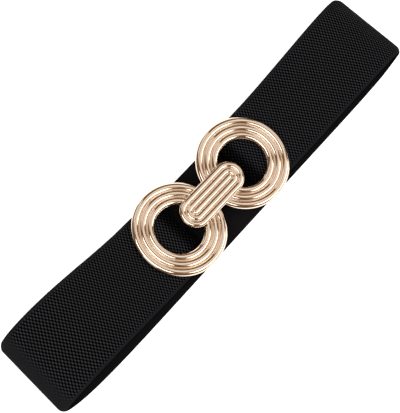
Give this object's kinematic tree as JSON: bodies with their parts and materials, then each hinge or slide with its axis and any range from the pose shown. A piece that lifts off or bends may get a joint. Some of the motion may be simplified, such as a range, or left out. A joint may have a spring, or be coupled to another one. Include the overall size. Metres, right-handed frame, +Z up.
{
  "type": "elastic stretch belt",
  "caption": "Elastic stretch belt of black webbing, fastened into a loop by a clasp of ridged gold rings and a linking tab.",
  "frame": {"origin": "middle of the footprint, on the surface that the belt's back run lies on", "axes": "+X along the belt towards the half that carries the tab, +Y across the webbing towards its far edge, +Z up out of the front run"},
  "size_m": [0.3138, 0.058, 0.0285],
  "materials": {
    "webbing": "matte black woven elastic with a diamond weave and a plain selvedge",
    "clasp_metal": "cast zinc alloy, polished and plated in pale rose gold",
    "bar_metal": "plain drawn wire, plated in the clasp's colour"
  },
  "bodies": {
    "root": {"elastic_band": "webbing", "ring_left": "clasp_metal", "ring_right_with_tab": "clasp_metal", "bar_left": "bar_metal", "bar_right": "bar_metal"}
  },
  "joints": []
}
